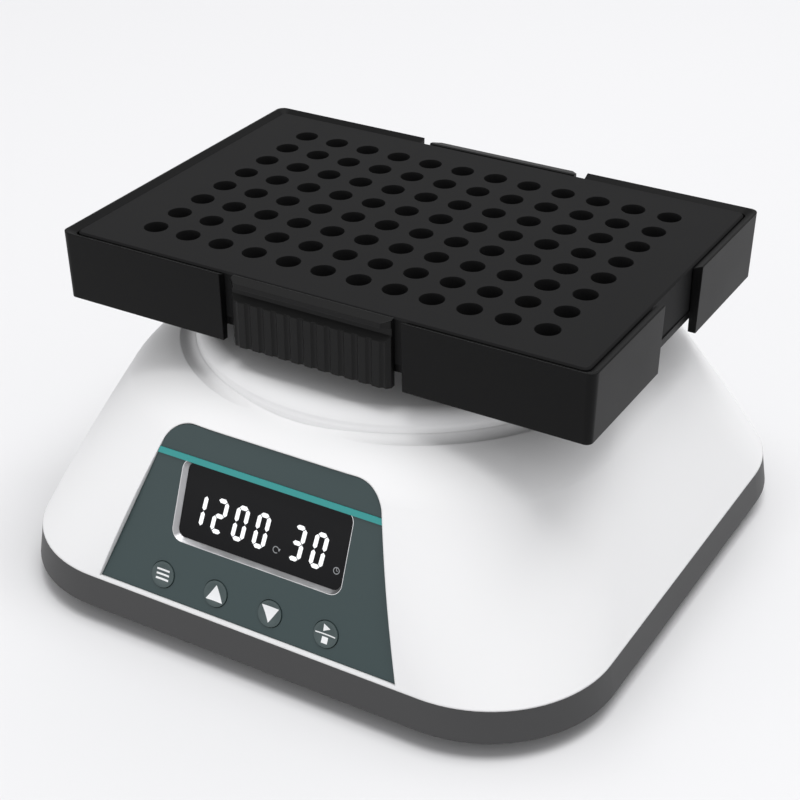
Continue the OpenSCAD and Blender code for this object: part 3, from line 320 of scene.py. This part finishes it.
def strips(outline, step=0.3):
    """Cuts a convex outline into a mesh of small quads so that it can follow a dished face."""
    ys = [p[1] for p in outline]
    lo, hi = min(ys), max(ys)
    count = max(1, int(math.ceil((hi - lo) / step)))

    def span(y):
        xs = []
        for i in range(len(outline)):
            (x0, y0), (x1, y1) = outline[i], outline[(i + 1) % len(outline)]
            if y0 == y1:
                if abs(y - y0) < TINY:
                    xs += [x0, x1]
            elif min(y0, y1) - TINY <= y <= max(y0, y1) + TINY:
                xs.append(x0 + (x1 - x0) * (y - y0) / (y1 - y0))
        return min(xs), max(xs)
    out = []
    for i in range(count):
        y0 = lo + (hi - lo) * i / count
        y1 = lo + (hi - lo) * (i + 1) / count
        a0, b0 = span(y0)
        a1, b1 = span(y1)
        for j in range(COLUMNS):
            p, q = j / COLUMNS, (j + 1) / COLUMNS
            pts = [(a0 + (b0 - a0) * p, y0), (a0 + (b0 - a0) * q, y0), (a1 + (b1 - a1) * q, y1),
                   (a1 + (b1 - a1) * p, y1)]
            if abs(b1 - a1) < TINY:
                pts = pts[:3]
            elif abs(b0 - a0) < TINY:
                pts = pts[1:]
            out.append(pts)
    return out


def key_symbol(name, body, cx, cy, outlines):
    z = key_face(cx, cy)
    shapes = []
    for o in outlines:
        shapes += strips([(cx + x, cy + y) for x, y in o])
    verts, faces = prisms(shapes, on_panel,
                          lambda x, y: z(x, y) - SYMBOL_SINK, lambda x, y: z(x, y) + PRINT_T)
    mesh_piece(name, verts, faces, print_white, body)


KEY_V, KEYS_X, KEY_PITCH = 5.2, -1, 14.4
KEY_X = [KEYS_X + (i - 1.5) * KEY_PITCH for i in range(4)]
key_symbol("menu_symbol", "menu_key", KEY_X[0], KEY_V,
           [rect(-1.7, 0.85, 1.7, 1.3), rect(-1.7, -0.22, 1.7, 0.22), rect(-1.7, -1.3, 1.7, -0.85)])
key_symbol("up_symbol", "up_key", KEY_X[1], KEY_V, [[(-2.2, -1.65), (2.2, -1.65), (0, 2.05)]])
key_symbol("down_symbol", "down_key", KEY_X[2], KEY_V, [[(-2.2, 1.65), (0, -2.05), (2.2, 1.65)]])
key_symbol("start_symbol", "start_key", KEY_X[3], KEY_V,
           [rect(-2.5, -0.13, 2.5, 0.13), [(-0.75, 0.55), (0.95, 1.4), (-0.75, 2.25)],
            rect(-0.75, -2.05, 0.75, -0.6)])


# Light, floor and camera, in metres and watts

def area(name, place, target, size, power):
    d = bpy.data.lights.new(name, "AREA")
    d.shape = "RECTANGLE"
    d.size, d.size_y = size
    d.energy = power
    o = bpy.data.objects.new(name, d)
    scene.collection.objects.link(o)
    o.location = place
    o.rotation_euler = (Vector(target) - Vector(place)).to_track_quat("-Z", "Y").to_euler()
    return o


# A large soft light overhead, a faint one from the right and a low fill for the cover's front
top_light = area("top_light", (0.3, 0.12, 2.1), (0, 0, 0), (1.4, 1.4), 34)
right_light = area("right_light", (1.7, 0.0, 0.5), (0, 0, 0.05), (1.4, 1.0), 0.7)
front_light = area("front_light", (-0.8, -1.85, 0.4), (0, 0, 0.06), (1.7, 0.5), 6.6)

WORLD_STRENGTH, FLOOR_HALF = 0.6, 6
world = bpy.data.worlds.new("studio")
scene.world = world
world.use_nodes = True
wn = world.node_tree
wn.nodes.clear()
w_out = wn.nodes.new("ShaderNodeOutputWorld")
w_bg = wn.nodes.new("ShaderNodeBackground")
w_bg.inputs["Color"].default_value = (1.0, 1.0, 1.01, 1)
w_bg.inputs["Strength"].default_value = WORLD_STRENGTH
wn.links.new(w_bg.outputs["Background"], w_out.inputs["Surface"])

floor_mat = material("studio_floor", (0.74, 0.74, 0.75, 1), 0.7, spec=0.1, rough_var=0)
me = bpy.data.meshes.new("studio_floor")
me.from_pydata([(x, y, 0) for x, y in rect(-FLOOR_HALF, -FLOOR_HALF, FLOOR_HALF, FLOOR_HALF)],
               [], [(0, 1, 2, 3)])
floor = bpy.data.objects.new("studio_floor", me)
scene.collection.objects.link(floor)
me.materials.append(floor_mat)

# The photograph's camera, solved from the block's well centres. With all three angles at 0 it
# would look straight down with +Y up in the picture.
CAM_PLACE = (0.184692, -0.320748, 0.251018)
CAM_YAW, CAM_PITCH, CAM_ROLL = 30.4519, 59.6255, -0.2079
FOCAL_PX, PICTURE_PX, SENSOR_W = 1762.13, 800, 36.0
cam_data = bpy.data.cameras.new("camera")
cam_data.sensor_width = SENSOR_W
cam_data.lens = FOCAL_PX / PICTURE_PX * SENSOR_W
cam_data.clip_start = 0.02
cam_data.clip_end = 30.0
cam = bpy.data.objects.new("camera", cam_data)
scene.collection.objects.link(cam)
cam.matrix_world = (Matrix.Translation(CAM_PLACE)
                    @ Matrix.Rotation(math.radians(CAM_YAW), 4, "Z")
                    @ Matrix.Rotation(math.radians(CAM_PITCH), 4, "X")
                    @ Matrix.Rotation(math.radians(CAM_ROLL), 4, "Z"))
scene.camera = cam
scene.view_settings.view_transform = "Standard"
